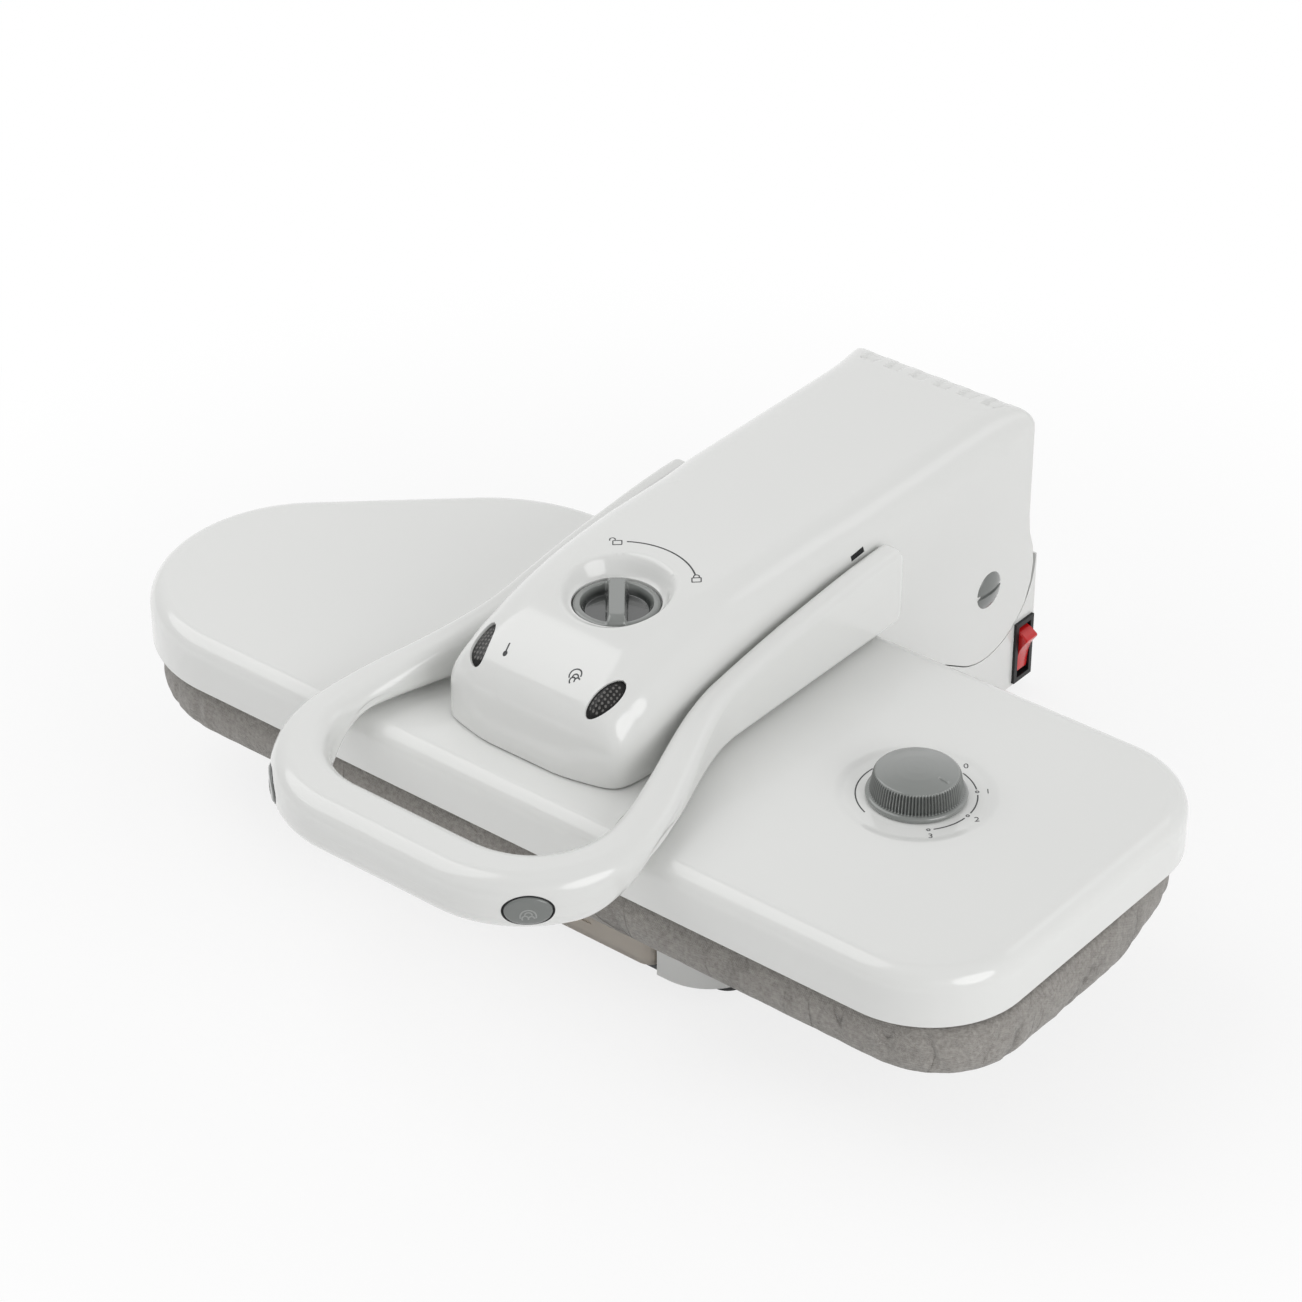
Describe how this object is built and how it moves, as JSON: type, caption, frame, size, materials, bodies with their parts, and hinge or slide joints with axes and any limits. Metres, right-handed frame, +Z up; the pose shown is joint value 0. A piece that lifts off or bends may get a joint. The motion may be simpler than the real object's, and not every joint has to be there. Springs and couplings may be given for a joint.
{
  "type": "steam ironing press",
  "caption": "Table-top steam ironing press with a long padded board, a hinged heated upper platen, a pull-down U handle, a sliding water tank and turning controls.",
  "frame": {"origin": "centre of the footprint's bounding box, on the table", "axes": "+X along the board to its square end, +Y to the hinge at the back, +Z up"},
  "size_m": [0.64, 0.54, 0.2085],
  "materials": {
    "white_plastic": "smooth semi-gloss moulding",
    "grey_plastic": "satin moulding",
    "black_plastic": "gloss",
    "red_plastic": "gloss",
    "dark_plastic": "matte",
    "tinted_tank": "translucent",
    "lens": "translucent, dark when unlit",
    "cover_cloth": "woven, creased",
    "foam": "open foam",
    "mineral_wool": "felted",
    "steel": "satin",
    "painted_steel": "satin paint",
    "aluminium": "machined",
    "bronze": "sintered",
    "rubber": "matte",
    "silicone": "matte",
    "circuit_board": "matte"
  },
  "bodies": {
    "base": {"base_housing": "white_plastic", "base_pan": "dark_plastic", "base_screws": "steel", "rubber_feet": "rubber", "rear_column": "white_plastic", "cord_gland": "rubber", "hinge_bracket": "painted_steel", "pivot_bushes": "bronze", "counter_spring": "steel", "switch_bezel": "black_plastic", "board_pan": "painted_steel", "board_posts": "painted_steel", "board_pad": "foam", "board_cover": "cover_cloth", "valve_socket": "dark_plastic", "pump_hose": "silicone", "water_pump": "dark_plastic", "riser_hose": "silicone"},
    "arm": {"upper_cover": "white_plastic", "heat_plate": "aluminium", "heating_element": "steel", "steam_chamber": "aluminium", "insulation": "mineral_wool", "thermostat": "dark_plastic", "platen_posts": "steel", "platen_bolts": "steel", "steam_hose": "silicone", "arm_casing": "white_plastic", "arm_frame": "painted_steel", "pivot_shaft": "steel", "pivot_screws": "grey_plastic", "indicator_lenses": "lens", "indicator_board": "circuit_board"},
    "handle": {"handle_upper": "white_plastic", "handle_lower": "white_plastic", "handle_ends": "white_plastic", "handle_frame": "painted_steel", "handle_pins": "steel", "pin_clips": "steel", "steam_switches": "dark_plastic"},
    "dial": {"temperature_dial": "grey_plastic"},
    "lock": {"lock_knob": "grey_plastic", "lock_spindle": "steel", "lock_cam": "steel"},
    "button_right": {"steam_button_right": "grey_plastic"},
    "button_left": {"steam_button_left": "grey_plastic"},
    "rocker": {"power_rocker": "red_plastic"},
    "water_tank": {"tank_body": "tinted_tank", "tank_cap": "grey_plastic", "tank_valve": "dark_plastic"}
  },
  "joints": [
    {"name": "arm_hinge", "type": "hinge", "parent": "base", "child": "arm", "pos_m": [0, 0.215, 0.095], "axis": [-1, 0, 0], "range_deg": [0, 32]},
    {"name": "handle_hinge", "type": "hinge", "parent": "arm", "child": "handle", "pos_m": [0, 0.079, 0.162], "axis": [-1, 0, 0], "range_deg": [0, 12]},
    {"name": "dial_turn", "type": "hinge", "parent": "arm", "child": "dial", "pos_m": [0.192, -0.033, 0.14], "axis": [0, 0, -1], "range_deg": [0, 270]},
    {"name": "lock_turn", "type": "hinge", "parent": "arm", "child": "lock", "pos_m": [0, -0.061, 0.2], "axis": [0, 0, -1], "range_deg": [0, 90]},
    {"name": "button_right_press", "type": "slide", "parent": "handle", "child": "button_right", "axis": [-0.6293, 0.7771, 0], "range_m": [0, 0.0025], "stiffness_N_per_m": 400},
    {"name": "button_left_press", "type": "slide", "parent": "handle", "child": "button_left", "axis": [0.6293, 0.7771, 0], "range_m": [0, 0.0025], "stiffness_N_per_m": 400},
    {"name": "rocker_tip", "type": "hinge", "parent": "base", "child": "rocker", "pos_m": [0.064, 0.2555, 0.032], "axis": [0, -1, 0], "range_deg": [0, 18]},
    {"name": "tank_slide", "type": "slide", "parent": "base", "child": "water_tank", "axis": [0, -1, 0], "range_m": [0, 0.12]}
  ]
}
